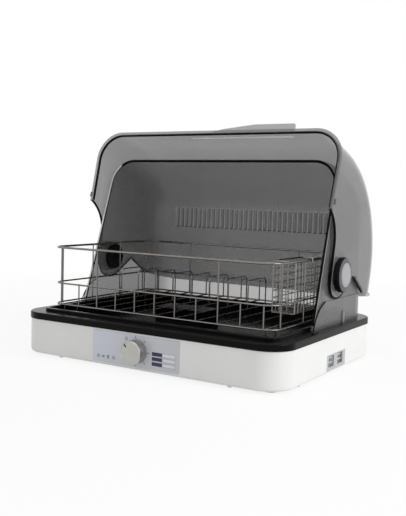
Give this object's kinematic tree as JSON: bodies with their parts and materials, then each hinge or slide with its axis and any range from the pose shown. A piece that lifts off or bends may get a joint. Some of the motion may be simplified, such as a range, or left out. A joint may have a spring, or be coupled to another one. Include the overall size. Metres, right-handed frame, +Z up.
{
  "type": "dish dryer",
  "caption": "Bench-top dish dryer with a swing-back smoky lid over a wire rack, a cutlery basket, a drip tray and a timer knob.",
  "frame": {"origin": "on the worktop, under the middle of the base", "axes": "+X to the right as seen from the front, +Y to the rear, +Z up"},
  "size_m": [0.5242, 0.4641, 0.4226],
  "materials": {
    "white_plastic": "gloss",
    "black_plastic": "gloss",
    "smoky_plastic": "gloss, smoky see-through",
    "light_trim": "satin",
    "grey_plastic": "satin",
    "inner_white": "satin",
    "panel_film": "satin",
    "knob_metal": "brushed",
    "rubber_pads": "matte",
    "steel_fixings": "plain",
    "filter_mesh": "satin",
    "motor_paint": "satin",
    "heater_fins": "plain",
    "safety_parts": "plain",
    "wire_covering": "satin",
    "rack_steel": "polished",
    "basket_steel": "polished"
  },
  "bodies": {
    "base": {"base_housing": "white_plastic", "bottom_plate": "grey_plastic", "feet": "rubber_pads", "bottom_screws": "steel_fixings", "drip_tray": "black_plastic", "air_outlet_hood": "black_plastic", "rear_cover": "smoky_plastic", "cover_clips": "light_trim", "lid_rest_pads": "rubber_pads", "control_panel": "panel_film", "timer_body": "grey_plastic", "timer_nut": "steel_fixings", "side_vent_insert": "grey_plastic", "inlet_filter": "filter_mesh", "fan_scroll": "grey_plastic", "fan_motor": "motor_paint", "heater_duct": "grey_plastic", "heater": "heater_fins", "thermostat": "safety_parts", "thermal_fuse": "safety_parts", "terminal_block": "inner_white", "cord_gland": "rubber_pads", "wiring_loom": "wire_covering", "pivot_knob_left": "black_plastic", "pivot_knob_right": "black_plastic", "pivot_cap_left": "light_trim", "pivot_cap_right": "light_trim", "pivot_nuts": "black_plastic"},
    "fan": {"fan_impeller": "inner_white", "motor_shaft": "steel_fixings"},
    "timer": {"timer_knob": "knob_metal", "timer_shaft": "steel_fixings"},
    "lid": {"lid": "smoky_plastic", "lid_handle": "smoky_plastic", "lid_buffers": "rubber_pads"},
    "rack": {"rack_top_frame": "rack_steel", "rack_mid_frame": "rack_steel", "rack_floor_frame": "rack_steel", "rack_floor_wires": "rack_steel", "rack_front_uprights": "rack_steel", "rack_rear_uprights": "rack_steel", "rack_left_uprights": "rack_steel", "rack_right_uprights": "rack_steel", "rack_feet": "rack_steel", "plate_dividers": "rack_steel"},
    "basket": {"basket_rim": "basket_steel", "basket_front": "basket_steel", "basket_back": "basket_steel", "basket_inner_side": "basket_steel", "basket_outer_side": "basket_steel", "basket_floor": "basket_steel", "basket_hooks": "basket_steel"}
  },
  "joints": [
    {"name": "lid_hinge", "type": "hinge", "parent": "base", "child": "lid", "pos_m": [0, 0.041, 0.1635], "axis": [1, 0, 0], "range_deg": [0, 105]},
    {"name": "timer_turn", "type": "hinge", "parent": "base", "child": "timer", "pos_m": [0, -0.2, 0.036], "axis": [0, 1, 0], "range_deg": [0, 222]},
    {"name": "fan_spin", "type": "hinge", "parent": "base", "child": "fan", "pos_m": [0.15, 0.017, 0.03], "axis": [0, 0, 1], "continuous": true},
    {"name": "rack_lift_out", "type": "slide", "parent": "base", "child": "rack", "axis": [0, 0.766, -0.6428], "range_m": [-0.36, 0]},
    {"name": "basket_lift_out", "type": "slide", "parent": "rack", "child": "basket", "axis": [0, 0, -1], "range_m": [-0.1, 0]}
  ]
}
